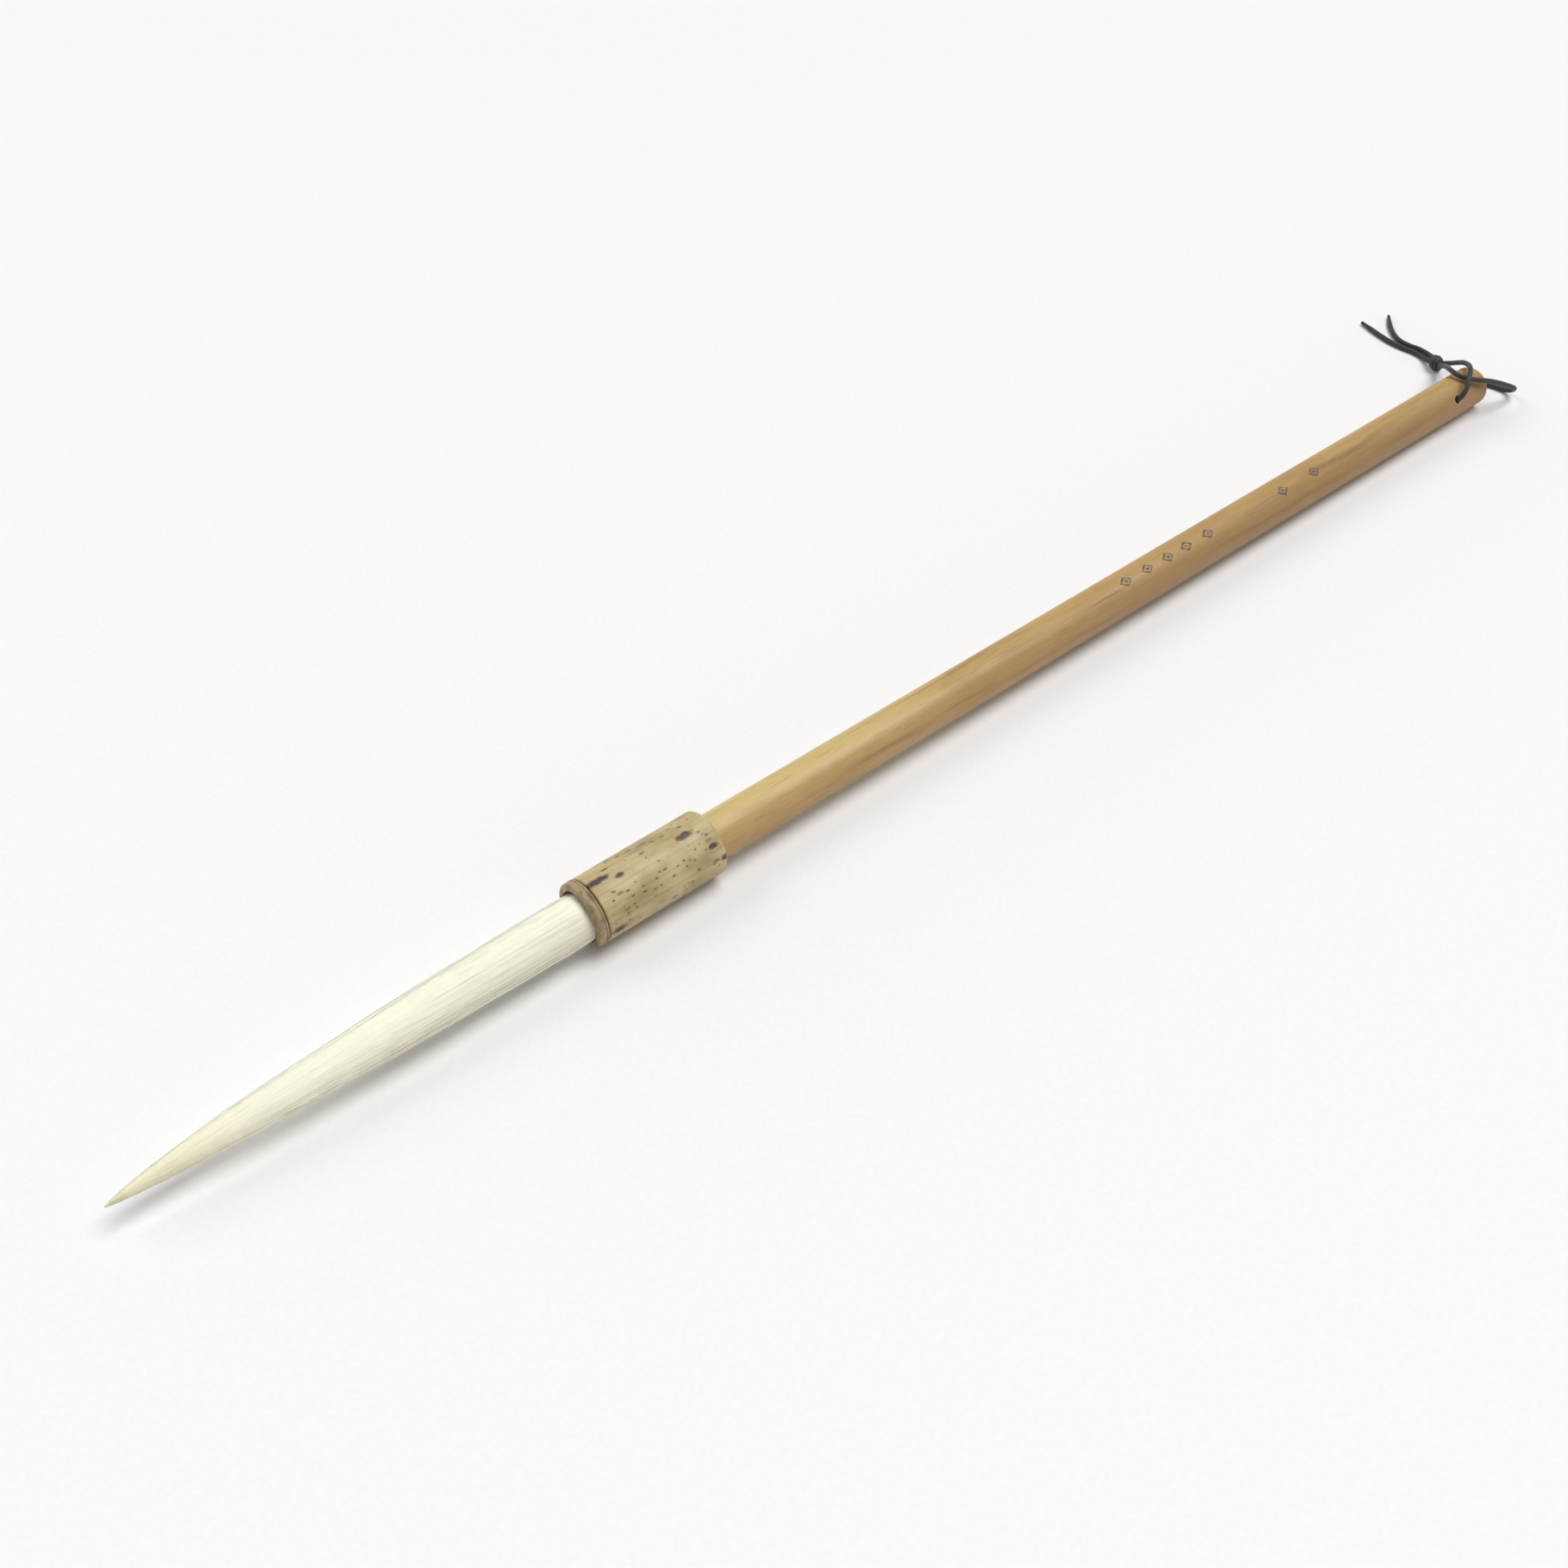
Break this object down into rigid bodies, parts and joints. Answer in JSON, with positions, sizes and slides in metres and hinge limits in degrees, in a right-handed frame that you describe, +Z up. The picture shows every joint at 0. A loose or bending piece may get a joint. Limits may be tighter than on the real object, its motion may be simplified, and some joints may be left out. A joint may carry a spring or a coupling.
{
  "type": "calligraphy brush",
  "caption": "Calligraphy brush with a long soft tapering tuft, a turned mouth ring, a mottled bamboo ferrule, a slim bamboo handle and a knotted hanging cord.",
  "frame": {"origin": "on the table under the middle of the brush's length, cord left out", "axes": "+X from the tip of the hair towards the hanging end of the handle, +Z up from the table. The brush lies on its ferrule's back edge and its handle's end, so its axis dips 0.46 degrees towards +X"},
  "size_m": [0.3998, 0.0483, 0.0142],
  "materials": {
    "hair": "matte",
    "thread": "matte",
    "rosin": "gloss",
    "ring": "satin",
    "sleeve": "satin",
    "handle": "satin",
    "cord": "satin"
  },
  "bodies": {
    "brush": {"handle_tube": "handle", "handle_end_plug": "ring", "ferrule_sleeve": "sleeve", "mouth_ring": "ring", "hair_root": "hair", "root_binding_thread": "thread", "rosin_seal": "rosin"},
    "tuft": {"cloak_hair": "hair", "support_hair": "hair", "core_hair": "hair"},
    "cord": {"cord_front_run": "cord", "cord_loop_run": "cord", "cord_knot": "cord", "cord_tail_long": "cord", "cord_tail_short": "cord"}
  },
  "joints": [
    {"name": "tuft_bend", "type": "hinge", "parent": "brush", "child": "tuft", "pos_m": [-0.09515, 0, 0.00726], "axis": [0.0081, 0, 1], "range_deg": [-35, 35], "stiffness_Nm_per_rad": 0.03},
    {"name": "cord_swing", "type": "hinge", "parent": "brush", "child": "cord", "pos_m": [0.17934, 0, 0.00505], "axis": [0.0046, -0.8192, 0.5736], "range_deg": [0, 45]}
  ]
}
